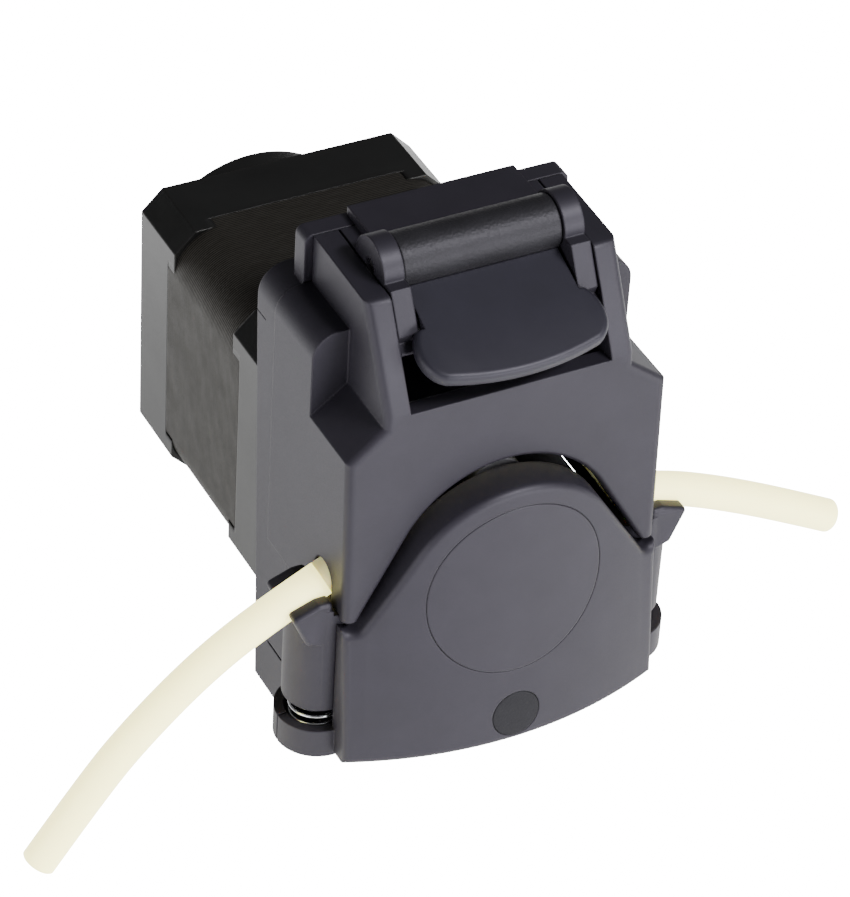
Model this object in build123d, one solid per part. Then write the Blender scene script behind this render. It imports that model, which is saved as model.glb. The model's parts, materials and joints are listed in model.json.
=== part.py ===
from build123d import *
import os
from math import acos, atan2, cos, hypot, pi, radians, sin, tan

# Peristaltic pump head with a lift-up tube cover, on its stepper motor.
#
# Frame: millimetres. The origin is on the rotor and motor axis at the rear face of the
# pump head, where a panel or the motor flange meets it. +Z is up, the motor lies along +Y,
# and the front of the head faces -Y. Each function makes one named piece.

# ---- clearances --------------------------------------------------------------------
gap = 0.3              # between pieces that move past each other
seat_gap = 0.05        # between pieces that are fitted together
running_gap = 0.05     # radial, shaft in a bore

# ---- motor -------------------------------------------------------------------------
motor_side = 56.4
motor_chamfer = 4.2
front_cap_length = 11.7
stack_length = 31.9
rear_cap_length = 12.4
stack_corner_radius = 9.5
cap_lug_reach = 2.9
cap_lug_inset = 0.6
shaft_hole_clearance = 1.0
cap_bore_radius = 25.0
cap_floor = 8.5
pilot_radius = 19.05
pilot_height = 1.6
stator_bore_radius = 24.0
pole_count = 8
pole_width = 6.0
pole_tip_radius = 17.6
coil_wall = 2.0
coil_overhang = 2.0
magnet_radius = 17.2
magnet_length = 27.0
shaft_radius = 3.175
shaft_front = 26.0
bearing_radius = 8.0
bearing_width = 5.0
bearing_inset = 3.0
tie_screw_pitch = 39.8
tie_screw_radius = 1.5
tie_head_radius = 2.75
tie_head_height = 1.8
flange_screw_pitch = 47.14
flange_screw_radius = 2.0
flange_head_radius = 3.5
flange_head_height = 4.0
flange_screw_grip = 3.6
flange_screw_depth = 8.0
encoder_radius = 22.3
encoder_length = 12.0
encoder_wall = 1.5
code_disc_radius = 16.0
code_disc_thickness = 0.8
reader_board_size = 9.0
reader_board_thickness = 1.6
connector_width = 16.0
connector_height = 5.0
connector_length = 8.0
connector_wall = 1.0

# ---- base housing ------------------------------------------------------------------
base_half_width = 30.6
base_top = 49.6
base_foot_half_width = 28.8
base_taper_top = 40.0
base_bottom = -45.7
base_corner_radius = 5.5
seam_depth = 8.0
sill_depth = 14.6
block_depth = 36.2
block_bottom = -33.0
block_top = -5.9
tower_half_width = 25.8
tower_top = 60.0
tower_rear_depth = 4.2
rotor_cavity_clearance = 0.4
rail_offset = 24.5
rail_width = 3.6
rail_depth = 4.0
rail_bottom = 25.0
rail_top = 33.0
insert_spacing_x = 40.0
insert_top = 40.0
insert_bottom = -40.0
ledge_height = -33.3
ledge_groove = 0.5
ledge_depths = (5.5, 13.5)
score_height = 40.5
score_groove = 0.2
score_depth = 3.6
insert_radius = 2.0
insert_outer_radius = 2.9
insert_length = 6.0

# ---- rotor and rollers -------------------------------------------------------------
roller_count = 3
roller_radius = 5.0
roller_orbit = 18.4
roller_length = 9.4
roller_pin_radius = 1.5
roller_start_angle = 90.0
tube_depth = 31.1
hub_radius = 8.0
hub_rear_depth = 9.5
plate_thickness = 2.4
rear_plate_radius = 21.6
front_plate_radius = 20.3
hub_nose_radius = 4.0
front_bush_radius = 7.0
front_bush_length = 2.6

# ---- tube --------------------------------------------------------------------------
tube_outer_radius = 3.25
tube_bore_radius = 1.6
pressed_thickness = 3.2
pressed_width = 8.4
press_clearance = 0.15
pressed_end_angle = 28.0
exit_height = 2.8
exit_x = 31.6
stub_length = 3.4
left_route = [(-43.4, -2.9), (-55.2, -10.6), (-67.0, -21.4), (-75.0, -30.6), (-86.0, -45.8)]
right_route = [(38.5, 0.9), (46.5, -2.4), (55.5, -6.8), (65.0, -11.9), (76.9, -18.6)]

# ---- cover -------------------------------------------------------------------------
cover_half_width = 31.3
cover_lift = 8.0
wide_top = 50.3
wide_corner_radius = 4.8
wide_front_depth = 23.4
skirt_bottom = -5.6
lobe_bottom = -1.3
face_depth_low = 40.1
face_depth_high = 38.4
face_break_height = 41.5
arm_front_depth = 28.9
arm_top = 59.4
arm_outer = 24.3
shelf_outer_height = 33.4
shelf_inner_height = 38.8
window_half_width = 19.6
window_bottom = 41.0
front_wall = 3.4
well_floor = 33.2
arch_radius = 22.3
arch_centre_height = 3.0
arch_foot_x = 28.4
arch_edge_radius = 1.1
clamp_slot_inner = 19.8
track_radius_wall = 2.6
cover_edge_radius = 1.6

# ---- front housing -----------------------------------------------------------------
front_half_width = 31.6
front_bottom = -32.2
bell_radius = 22.2
bell_wall = 1.4
bell_side_angle = 33.0
notch_height = -3.8
shoulder_height = -2.6
notch_radius = 1.6
crown_radius = 84.0
crown_depth_at_base = 49.4
face_lean = 6.0
front_edge_radius = 1.6
badge_radius = 17.3
badge_height = 1.2
badge_gap = 0.12
badge_floor_depth = 43.4
plug_radius = 4.65
plug_height = -26.0
plug_floor_depth = 45.4
front_screw_radius = 1.5
front_screw_head_radius = 2.75
front_screw_head_height = 2.4
front_screw_length = 20.0
dowel_radius = 1.5
dowel_length = 8.0
dowel_end_gap = 0.5
dowel_x = 14.0
dowel_height = -28.5

# ---- tube clamps -------------------------------------------------------------------
clamp_x = 31.42
clamp_radius = 6.57
clamp_bottom = -23.05
clamp_travel = 3.0
vee_angle = 100.0
vee_flare = 27.0
prong_reach = 39.8
prong_drop = 5.6
prong_slant = 1.8
prong_top = 1.9
prong_edge_radius = 0.8
prong_thickness = 3.2
prong_half_spread = 6.2
cup_radius = 7.85
cup_top = -26.93
cup_floor = -31.2
cup_wall = 1.85
clamp_spring_radius = 5.0
clamp_spring_wire = 0.35
clamp_spring_turns = 4

# ---- lever, yoke and cover lift ----------------------------------------------------
hinge_depth = 20.2
hinge_height = 60.1
lever_angle = 100.0
paddle_droop = 22.0
barrel_radius = 5.1
cheek_radius = 5.6
cheek_inner = 15.5
cheek_outer = 19.4
yoke_arm_outer = 19.3
arm_recess = 0.5
yoke_toe_height = 50.0
yoke_toe = 1.0
yoke_toe_slope = 0.8
yoke_toe_radius = 0.4
yoke_bottom = 43.6
yoke_back_wall = 3.0
pad_half_width = 16.3
pad_thickness = 1.8
pad_rear_depth = 4.8
hinge_pin_radius = 1.5
hinge_pin_recess = 0.8
cam_half_width = 6.0
cam_base_radius = 5.1
cam_clearance = 0.6
cam_flank = 6.0
cam_steps = 22
lift_pin_radius = 2.0
lift_pin_seat = 3.2
lift_spring_radius = 1.5
lift_spring_wire = 0.22
lift_spring_turns = 7
lift_spring_length = 14.0
paddle_thickness = 3.2
paddle_top_offset = -0.7
paddle_neck = 14.9
paddle_ear_reach = 13.9
paddle_ear_half = 16.6
paddle_half = 17.9
paddle_corner_reach = 21.6
paddle_front_half = 14.8
paddle_front_reach = 24.3
paddle_nose_reach = 26.4
paddle_edge_radius = 1.1
yoke_screw_radius = 1.5
yoke_screw_x = 11.0
yoke_screw_height = 55.0
yoke_screw_head_radius = 2.75
yoke_screw_head_height = 1.6
yoke_screw_length = 7.0

# ---- worked out from the sizes above -----------------------------------------------
motor_half = motor_side / 2
stack_front = front_cap_length
stack_rear = stack_front + stack_length
motor_rear = stack_rear + rear_cap_length
encoder_rear = motor_rear + encoder_length
shaft_rear = motor_rear + encoder_length / 2
roller_sweep = roller_orbit + roller_radius
rotor_cavity_radius = roller_sweep + rotor_cavity_clearance
press_radius = roller_sweep + press_clearance + pressed_thickness / 2
track_radius = press_radius + pressed_thickness / 2 + press_clearance
track_outer_radius = track_radius + track_radius_wall
cover_cavity_radius = track_outer_radius + seat_gap
roller_rear_depth = tube_depth - roller_length / 2
roller_front_depth = tube_depth + roller_length / 2
plate_gap = gap
rear_plate_depth = roller_rear_depth - plate_gap - plate_thickness
front_plate_depth = roller_front_depth + plate_gap
front_plate_front = front_plate_depth + plate_thickness
front_split = block_depth + gap
bush_depth = front_plate_front + gap
bush_front = bush_depth + front_bush_length
cover_rear = seam_depth + gap
shaft_bearing_rear = motor_rear - bearing_inset - bearing_width
cam_reach = cam_base_radius + cover_lift
lift_pin_height = hinge_height - cam_reach - cam_clearance - lift_pin_radius
lift_pin_half = window_half_width + lift_pin_seat
clamp_top = exit_height - tube_outer_radius - gap
prong_bottom = clamp_top - prong_drop
groove_radius = clamp_radius + gap
crown_axis_depth = crown_depth_at_base - crown_radius
exit_slope = {side: atan2(exit_height - route[0][1], abs(route[0][0]) - exit_x)
              for side, route in ((-1, left_route), (1, right_route))}
relief_depth = hinge_depth + cheek_radius + gap / 2
relief_half_width = cheek_outer + gap
notch_x = (bell_radius - notch_height * sin(radians(bell_side_angle))) / cos(radians(bell_side_angle))


# ---- helpers -----------------------------------------------------------------------
def block(x_span, y_span, z_span):
    """A box between the two values of each span."""
    centre = [(a + b) / 2 for a, b in (x_span, y_span, z_span)]
    size = [abs(b - a) for a, b in (x_span, y_span, z_span)]
    return Pos(*centre) * Box(*size)


def rod_y(radius, y_a, y_b, x=0.0, z=0.0):
    """A cylinder along Y."""
    return Pos(x, (y_a + y_b) / 2, z) * Rot(90, 0, 0) * Cylinder(radius, abs(y_b - y_a))


def rod_x(radius, x_a, x_b, y, z):
    """A cylinder along X."""
    return Pos((x_a + x_b) / 2, y, z) * Rot(0, 90, 0) * Cylinder(radius, abs(x_b - x_a))


def rod_z(radius, z_a, z_b, x, y):
    """A cylinder along Z."""
    return Pos(x, y, (z_a + z_b) / 2) * Cylinder(radius, abs(z_b - z_a))


def front_plane(depth):
    """The plane of the front view at a depth, with x to the right and z up."""
    return Plane((0, -depth, 0), x_dir=(1, 0, 0), z_dir=(0, -1, 0))


def slab_y(points, y_rear, y_front):
    """A polygon of (x, z) points, carried along Y between the two places."""
    face = front_plane(-y_rear) * make_face(Polyline(*points, close=True))
    return extrude(face, amount=y_rear - y_front)


def slab_x(points, x_a, x_b):
    """A polygon of (y, z) points, carried along X between the two places."""
    face = Plane((x_a, 0, 0), x_dir=(0, 1, 0), z_dir=(1, 0, 0)) * make_face(Polyline(*points, close=True))
    return extrude(face, amount=x_b - x_a)


def both_sides(solid):
    """The solid and its mirror image across the middle plane."""
    return solid + mirror(solid, about=Plane.YZ)


def at_corners(half_x, half_z, make):
    """One solid at each corner of a rectangle about the axis."""
    return [make(x, z) for x in (-half_x, half_x) for z in (-half_z, half_z)]


def joined(solids):
    """Solids that touch, as one shape."""
    total = solids[0]
    for solid in solids[1:]:
        total = total + solid
    return total


def rounded(solid, edges, radius):
    """The solid with those edges rounded, when there are any."""
    return fillet(edges, radius) if edges else solid


def edges_along(solid, axis, test):
    """Straight edges along an axis whose middle passes the test."""
    return [e for e in solid.edges().filter_by(axis) if test(e.center())]


def chamfered_square(y_a, y_b):
    """The motor's outline with cut corners, between two places on its axis."""
    body = block((-motor_half, motor_half), (y_a, y_b), (-motor_half, motor_half))
    corners = body.edges().filter_by(Axis.Y)
    return chamfer(corners, motor_chamfer)


def rounded_square(half, radius, y_a, y_b):
    """A square bar along Y with rounded corners."""
    body = block((-half, half), (y_a, y_b), (-half, half))
    return fillet(body.edges().filter_by(Axis.Y), radius)


def coil_spring(radius, wire, turns, x, y, z_low, z_high):
    """A compression spring between two heights, with its wire inside them."""
    low, high = z_low + wire, z_high - wire
    path = Pos(x, y, low) * Helix(pitch=(high - low) / turns, height=high - low, radius=radius)
    start = Plane(origin=path @ 0, z_dir=path % 0)
    return sweep(start * Circle(wire), path=path, is_frenet=True)


# ---- motor pieces ------------------------------------------------------------------
def cap_lugs(y_a, y_b):
    """The corner lugs of a motor cap, lying over the stack's rounded corners."""
    centre = motor_half - stack_corner_radius
    near = centre + cap_lug_inset

    def lug(x, z):
        corner = block((x * near, x * motor_half), (y_a, y_b), (z * near, z * motor_half))
        over = rod_y(stack_corner_radius + seat_gap, y_a, y_b, x * centre, z * centre)
        return (chamfered_square(y_a, y_b) & corner) - over
    return at_corners(1, 1, lug)


def motor_front_cap():
    """The front end bell, with its pilot, bearing seat and flange holes."""
    cap = chamfered_square(0, front_cap_length)
    lugs = cap_lugs(front_cap_length, front_cap_length + cap_lug_reach)
    cap = joined([cap] + lugs)
    cap += rod_y(pilot_radius, -pilot_height, 0)
    cap -= rod_y(cap_bore_radius, cap_floor, front_cap_length)
    cap -= rod_y(bearing_radius + seat_gap, bearing_inset, cap_floor)
    cap -= rod_y(shaft_radius + 1.0, -pilot_height, bearing_inset)
    half = flange_screw_pitch / 2
    for hole in at_corners(half, half, lambda x, z: rod_y(flange_screw_radius + seat_gap, 0,
                                                          flange_screw_depth + 1, x, z)):
        cap -= hole
    half = tie_screw_pitch / 2
    for hole in at_corners(half, half, lambda x, z: rod_y(tie_screw_radius + seat_gap, 4.0,
                                                          front_cap_length, x, z)):
        cap -= hole
    return cap


def stator_stack():
    """The laminated stator, with its poles pointing in at the rotor."""
    stack = rounded_square(motor_half, stack_corner_radius, stack_front, stack_rear)
    stack -= rod_y(stator_bore_radius, stack_front, stack_rear)
    inner = stator_bore_radius + 0.4
    for index in range(pole_count):
        pole = block((-pole_width / 2, pole_width / 2), (stack_front, stack_rear), (pole_tip_radius, inner))
        stack += Rot(0, index * 360 / pole_count, 0) * pole
    half = tie_screw_pitch / 2
    for hole in at_corners(half, half, lambda x, z: rod_y(tie_screw_radius + seat_gap, stack_front,
                                                          stack_rear, x, z)):
        stack -= hole
    return stack


def motor_windings():
    """One coil round each pole."""
    coils = []
    outer = pole_width / 2 + seat_gap + coil_wall
    inner = pole_width / 2 + seat_gap
    for index in range(pole_count):
        low, high = pole_tip_radius + 1.0, stator_bore_radius - 1.2
        coil = block((-outer, outer), (stack_front - coil_overhang, stack_rear + coil_overhang), (low, high))
        coil -= block((-inner, inner), (stack_front - seat_gap, stack_rear + seat_gap), (low, high))
        coils.append(Rot(0, index * 360 / pole_count, 0) * coil)
    return coils


def motor_magnet_rotor():
    """The toothed magnet rotor as a plain cylinder on the shaft."""
    middle = (stack_front + stack_rear) / 2
    rotor = rod_y(magnet_radius, middle - magnet_length / 2, middle + magnet_length / 2)
    return rotor - rod_y(shaft_radius + seat_gap / 2, middle - magnet_length / 2, middle + magnet_length / 2)


def drive_shaft():
    """The motor shaft, which carries the pump rotor at its front end."""
    shaft = rod_y(shaft_radius, -shaft_front, shaft_rear)
    flat = block((-shaft_radius, shaft_radius), (-shaft_front, -hub_rear_depth - 2),
                 (shaft_radius - 0.5, shaft_radius))
    return shaft - flat


def ball_bearing(y_a):
    """A sealed ball bearing as a plain ring."""
    ring = rod_y(bearing_radius, y_a, y_a + bearing_width)
    return ring - rod_y(shaft_radius + running_gap, y_a, y_a + bearing_width)


def motor_rear_cap():
    """The rear end bell, with its bearing seat and shaft hole."""
    cap = chamfered_square(stack_rear, motor_rear)
    lugs = cap_lugs(stack_rear - cap_lug_reach, stack_rear)
    cap = joined([cap] + lugs)
    inside = motor_rear - cap_floor
    cap -= rod_y(cap_bore_radius, stack_rear, inside)
    cap -= rod_y(bearing_radius + seat_gap, inside, shaft_bearing_rear + bearing_width)
    cap -= rod_y(shaft_radius + 1.0, inside, motor_rear)
    half = tie_screw_pitch / 2
    for hole in at_corners(half, half, lambda x, z: rod_y(tie_screw_radius + seat_gap, stack_rear,
                                                          motor_rear, x, z)):
        cap -= hole
    slot = block((-connector_width / 2, connector_width / 2),
                 (motor_rear - connector_length, motor_rear - 1.4),
                 (-motor_half, -motor_half + connector_height))
    return cap - slot


def motor_connector():
    """The wire socket in the underside of the rear cap."""
    x_half = connector_width / 2 - seat_gap
    y_a, y_b = motor_rear - connector_length + seat_gap, motor_rear - 1.4 - seat_gap
    low, high = -motor_half - 1.0, -motor_half + connector_height - seat_gap
    shell = block((-x_half, x_half), (y_a, y_b), (low, high))
    inner = x_half - connector_wall
    return shell - block((-inner, inner), (y_a + connector_wall, y_b - connector_wall), (low, high - 1.6))


def motor_tie_screws():
    """Long screws that pull the caps onto the stack, with heads on the rear cap."""
    half = tie_screw_pitch / 2

    def screw(x, z):
        head = rod_y(tie_head_radius, motor_rear, motor_rear + tie_head_height, x, z)
        head -= rod_y(1.2, motor_rear + 0.6, motor_rear + tie_head_height, x, z)
        return head + rod_y(tie_screw_radius, 5.0, motor_rear, x, z)
    return at_corners(half, half, screw)


def encoder_cover():
    """The round cover on the motor's rear, over the shaft encoder."""
    shell = rod_y(encoder_radius, motor_rear, encoder_rear)
    rim = [e for e in shell.edges().filter_by(GeomType.CIRCLE) if e.center().Y > encoder_rear - 0.1]
    shell = fillet(rim, 1.0)
    return shell - rod_y(encoder_radius - encoder_wall, motor_rear, encoder_rear - encoder_wall)


def encoder_disc():
    """The code disc on the end of the shaft."""
    y_a = shaft_rear - 2.0
    disc = rod_y(code_disc_radius, y_a, y_a + code_disc_thickness)
    disc += rod_y(shaft_radius + 2.0, y_a, shaft_rear)
    return disc - rod_y(shaft_radius + seat_gap / 2, y_a, shaft_rear)


def encoder_board():
    """The reader board, which lies on the rear cap beside the disc."""
    low = shaft_radius + 3.5
    return block((-reader_board_size, reader_board_size),
                 (motor_rear, motor_rear + reader_board_thickness), (low, low + reader_board_size))


def flange_screws():
    """Screws from inside the head into the motor's front cap."""
    half = flange_screw_pitch / 2
    seat = -flange_screw_grip

    def screw(x, z):
        body = rod_y(flange_screw_radius, seat, flange_screw_depth, x, z)
        body += rod_y(flange_head_radius, seat - flange_head_height, seat, x, z)
        return body - rod_y(1.5, seat - flange_head_height, seat - 1.8, x, z)
    return at_corners(half, half, screw)


# ---- base housing ------------------------------------------------------------------
def base_half(height):
    """The base's half width at a height: it narrows towards the foot."""
    share = (min(height, base_taper_top) - base_bottom) / (base_taper_top - base_bottom)
    return base_foot_half_width + (base_half_width - base_foot_half_width) * share


def base_slab(depth_a, depth_b, top):
    """A slice of the base between two depths, from its foot to a height."""
    heights = sorted({base_bottom, min(top, base_taper_top), top})
    right = [(base_half(z), z) for z in heights]
    left = [(-x, z) for x, z in reversed(right)]
    return slab_y(right + left, -depth_a, -depth_b)


def half_cup(y_a, y_b, inner_x):
    """A clamp cup between two places along Y, outside a given x."""
    low, high = sorted((y_a, y_b))
    cup = rod_z(cup_radius, block_bottom, cup_top, clamp_x, -tube_depth)
    return cup & block((inner_x, clamp_x + cup_radius), (low, high), (block_bottom, cup_top))


def clamp_room():
    """The room for a clamp's post and, below it, for its spring."""
    room = rod_z(groove_radius, cup_top, prong_top + cover_lift, clamp_x, -tube_depth)
    return room + rod_z(cup_radius - cup_wall, cup_floor, cup_top, clamp_x, -tube_depth)


def base_housing():
    """The fixed rear body: back plate, tower, lower block and clamp cups."""
    plate = base_slab(0, seam_depth, base_top)
    plate = rounded(plate, edges_along(plate, Axis.Y, lambda c: c.Z > base_taper_top + 1), base_corner_radius)
    tower = block((-tower_half_width, tower_half_width), (-tower_rear_depth, -seam_depth),
                  (base_top - base_corner_radius, tower_top))
    tower = rounded(tower, edges_along(tower, Axis.Y, lambda c: c.Z > base_top), 1.5)
    lower = base_slab(seam_depth, sill_depth, block_top)
    front = block((-base_half_width, base_half_width), (-sill_depth, -block_depth),
                  (block_bottom, block_top))
    body = plate + tower + lower + front
    body += both_sides(half_cup(-tube_depth, -tube_depth + cup_radius, 0))
    body -= both_sides(clamp_room())
    body -= rod_y(rotor_cavity_radius, -seam_depth, -block_depth)
    body -= rod_y(pilot_radius + seat_gap, 0, -pilot_height - seat_gap)
    body -= rod_y(shaft_radius + 1.2, 0, -seam_depth)
    half = flange_screw_pitch / 2
    seat = -flange_screw_grip
    for x in (-half, half):
        for z in (-half, half):
            depth = seam_depth if z > 0 else block_depth
            body -= rod_y(flange_head_radius + gap, seat, -depth, x, z)
            body -= rod_y(flange_screw_radius + gap, 0, seat, x, z)
    rail = block((rail_offset - rail_width / 2, rail_offset + rail_width / 2),
                 (-seam_depth, -seam_depth - rail_depth), (rail_bottom, rail_top))
    body += both_sides(rail)
    for z in (insert_top, insert_bottom):
        body -= both_sides(rod_y(insert_outer_radius + seat_gap, 0, -insert_length - seat_gap,
                                 insert_spacing_x / 2, z))
    body -= rod_y(front_screw_radius + seat_gap, -block_depth,
                  -block_depth + front_screw_length, 0, plug_height)
    body -= both_sides(rod_y(dowel_radius + seat_gap, -block_depth, -block_depth + dowel_length / 2 + dowel_end_gap,
                             dowel_x, dowel_height))
    body -= both_sides(rod_y(yoke_screw_radius + seat_gap, -seam_depth,
                             -seam_depth + yoke_screw_length - yoke_back_wall,
                             yoke_screw_x, yoke_screw_height))
    side = base_half(ledge_height)
    body -= both_sides(block((side - ledge_groove, side + ledge_groove), [-d for d in ledge_depths],
                             (ledge_height, ledge_height - ledge_groove)))
    side = base_half(score_height)
    return body - both_sides(block((side - score_groove, side + score_groove), (0, -score_depth),
                                   (score_height, score_height - score_groove)))


def mounting_inserts():
    """Threaded brass inserts in the rear face, for fixing the head to a panel."""
    def insert(x, z):
        ring = rod_y(insert_outer_radius, 0, -insert_length, x, z)
        return ring - rod_y(insert_radius, 0, -insert_length, x, z)
    return [insert(x, z) for x in (-insert_spacing_x / 2, insert_spacing_x / 2)
            for z in (insert_bottom, insert_top)]


# ---- rotor -------------------------------------------------------------------------
def roller_places():
    """The (x, z) centre of each roller."""
    turns = [radians(roller_start_angle + index * 360 / roller_count) for index in range(roller_count)]
    return [(roller_orbit * cos(turn), roller_orbit * sin(turn)) for turn in turns]


def rotor_hub():
    """The hub on the drive shaft, with a nose that runs in the front bush."""
    hub = rod_y(hub_radius, -hub_rear_depth, -front_plate_front)
    hub += rod_y(hub_nose_radius, -front_plate_front, -bush_front)
    return hub - rod_y(shaft_radius + seat_gap / 2, -hub_rear_depth, -shaft_front - 1.0)


def carrier_plate(radius, depth_a, depth_b):
    """One of the two discs that carry the roller pins."""
    plate = rod_y(radius, -depth_a, -depth_b) - rod_y(hub_radius + seat_gap / 2, -depth_a, -depth_b)
    for x, z in roller_places():
        plate -= rod_y(roller_pin_radius + seat_gap / 2, -depth_a, -depth_b, x, z)
    return plate


def roller_pins():
    """The steel pins that the rollers turn on."""
    return [rod_y(roller_pin_radius, -rear_plate_depth, -front_plate_front, x, z)
            for x, z in roller_places()]


def roller(index):
    """One roller that presses the tube."""
    x, z = roller_places()[index]
    body = rod_y(roller_radius, -roller_rear_depth, -roller_front_depth, x, z)
    body = fillet(body.edges().filter_by(GeomType.CIRCLE), 0.5)
    return body - rod_y(roller_pin_radius + running_gap, -roller_rear_depth, -roller_front_depth, x, z)


def front_bush():
    """The plain bush in the front housing that steadies the hub's nose."""
    ring = rod_y(front_bush_radius, -bush_depth, -bush_front)
    return ring - rod_y(hub_nose_radius + running_gap, -bush_depth, -bush_front)


# ---- tube --------------------------------------------------------------------------
def pressed_section(angle):
    """The flattened tube's section, across the track at an angle."""
    turn = radians(angle)
    centre = (press_radius * cos(turn), -tube_depth, press_radius * sin(turn))
    plane = Plane(origin=centre, x_dir=(0, 1, 0), z_dir=(-sin(turn), 0, cos(turn)))
    return plane * SlotOverall(pressed_width, pressed_thickness)


def exit_frame(side, inwards=0.0):
    """The tube's section plane at its exit, or a little inwards along the tube."""
    along = Vector(side * cos(exit_slope[side]), 0, -sin(exit_slope[side]))
    start = Vector(side * exit_x, -tube_depth, exit_height) - along * inwards
    return Plane(origin=start, x_dir=(0, 1, 0), z_dir=along)


def pump_tube():
    """The stretch of tube inside the head, pressed flat round the track."""
    left_angle = 180 - pressed_end_angle
    path = front_plane(tube_depth) * CenterArc((0, 0, 0), press_radius, pressed_end_angle,
                                               left_angle - pressed_end_angle)
    tube = sweep(pressed_section(pressed_end_angle), path=path)
    for side, angle in ((-1, left_angle), (1, pressed_end_angle)):
        tube += loft([pressed_section(angle), exit_frame(side, stub_length) * Circle(tube_outer_radius)])
        tube += extrude(exit_frame(side, stub_length) * Circle(tube_outer_radius), amount=stub_length)
    return tube


def cord_radii(points):
    """The largest arc that each corner of a route allows."""
    radii = []
    for a, b, c in zip(points, points[1:], points[2:]):
        into, out = Vector(*b) - Vector(*a), Vector(*c) - Vector(*b)
        turn = radians(into.get_angle(out))
        radii.append(0.45 * min(into.length, out.length) / tan(turn / 2))
    return radii


def tube_end(name, side, route):
    """A free end of the tube, from the head's side to its cut end."""
    points = [(side * exit_x, -tube_depth, exit_height)] + [(x, -tube_depth, z) for x, z in route]
    radii = cord_radii(points)
    path = FilletPolyline(*points, radius=radii)
    start = Plane(origin=path @ 0, z_dir=path % 0)
    outer = sweep(start * Circle(tube_outer_radius), path=path)
    inner = sweep(start * Circle(tube_bore_radius), path=path)
    section = pi * (tube_outer_radius ** 2 - tube_bore_radius ** 2)
    tube = outer - inner
    print(name, "radii", [round(r, 1) for r in radii], "length", round(path.length, 2),
          "volume ratio", round(tube.volume / (section * path.length), 4))
    return tube


# ---- cover -------------------------------------------------------------------------
def arch_outline():
    """The mouth of the cover: a round arch with straight sides that touch it and flare to the feet."""
    foot = (arch_foot_x, lobe_bottom)
    drop = lobe_bottom - arch_centre_height
    touch = atan2(drop, arch_foot_x) + acos(arch_radius / hypot(arch_foot_x, drop))
    side = (arch_radius * cos(touch), arch_centre_height + arch_radius * sin(touch))
    top = (0, arch_centre_height + arch_radius)
    low = (arch_foot_x, skirt_bottom - 4)
    return low, foot, side, top


def arch_cut(depth_a, depth_b):
    """A solid of the arch's outline, for cutting the cover's front wall."""
    low, foot, side, top = arch_outline()
    left_low, left_foot, left_side = [(-x, z) for x, z in (low, foot, side)]
    outline = [Line(low, foot), Line(foot, side), ThreePointArc(side, top, left_side),
               Line(left_side, left_foot), Line(left_foot, left_low), Line(left_low, low)]
    return extrude(front_plane(depth_a) * make_face(Curve() + outline), amount=depth_b - depth_a)


def arch_edges(body):
    """The edges where the arch meets the cover's front face."""
    _, foot, side, top = arch_outline()

    def on_arch(point):
        across = ((abs(point.X) - foot[0]) * (side[1] - foot[1]) - (point.Z - foot[1]) * (side[0] - foot[0]))
        round_gap = abs(hypot(point.X, point.Z - arch_centre_height) - arch_radius)
        straight_gap = abs(across) / hypot(side[0] - foot[0], side[1] - foot[1])
        above_side = point.Z > side[1] and round_gap < seat_gap / 4
        return above_side or (foot[1] < point.Z <= side[1] and straight_gap < seat_gap / 4)
    return [e for e in body.edges() if (e @ 0.5).Y < -face_depth_high + 1 and on_arch(e @ 0.5)]


def face_profile(rear, low):
    """The cover's side view: upright face, then the arms leaning back above the break."""
    slope = (face_depth_low - face_depth_high) / (face_break_height - lobe_bottom)
    low_depth = face_depth_high + slope * (face_break_height - low)
    return [(-rear, low), (-low_depth, low), (-face_depth_high, face_break_height),
            (-arm_front_depth, arm_top), (-rear, arm_top + 0.6)]


def tube_way(side):
    """The room that the tube needs in the cover as the cover lifts off it."""
    half = tube_outer_radius + gap
    frame = exit_frame(side)
    way = frame * Pos(0, 0, -stub_length / 2 + 1) * Cylinder(half, stub_length + 4)
    way += frame * Pos(0, -side * cover_lift, -stub_length / 2 + 1) * Box(2 * half, 2 * cover_lift,
                                                                          stub_length + 4)
    reach = track_radius + gap
    turn = radians(pressed_end_angle)
    wide = pressed_width / 2 + gap
    inner = side * (clamp_slot_inner - 2)
    outline = [(inner, skirt_bottom - 4), (inner, reach * sin(turn) + 2),
               (side * reach * cos(turn), reach * sin(turn) + 2),
               (side * (exit_x - 1.5), exit_height + half + 2.6), (side * (exit_x - 1.5), skirt_bottom - 4)]
    return way + slab_y(outline, -tube_depth + wide, -tube_depth - wide)


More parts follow.
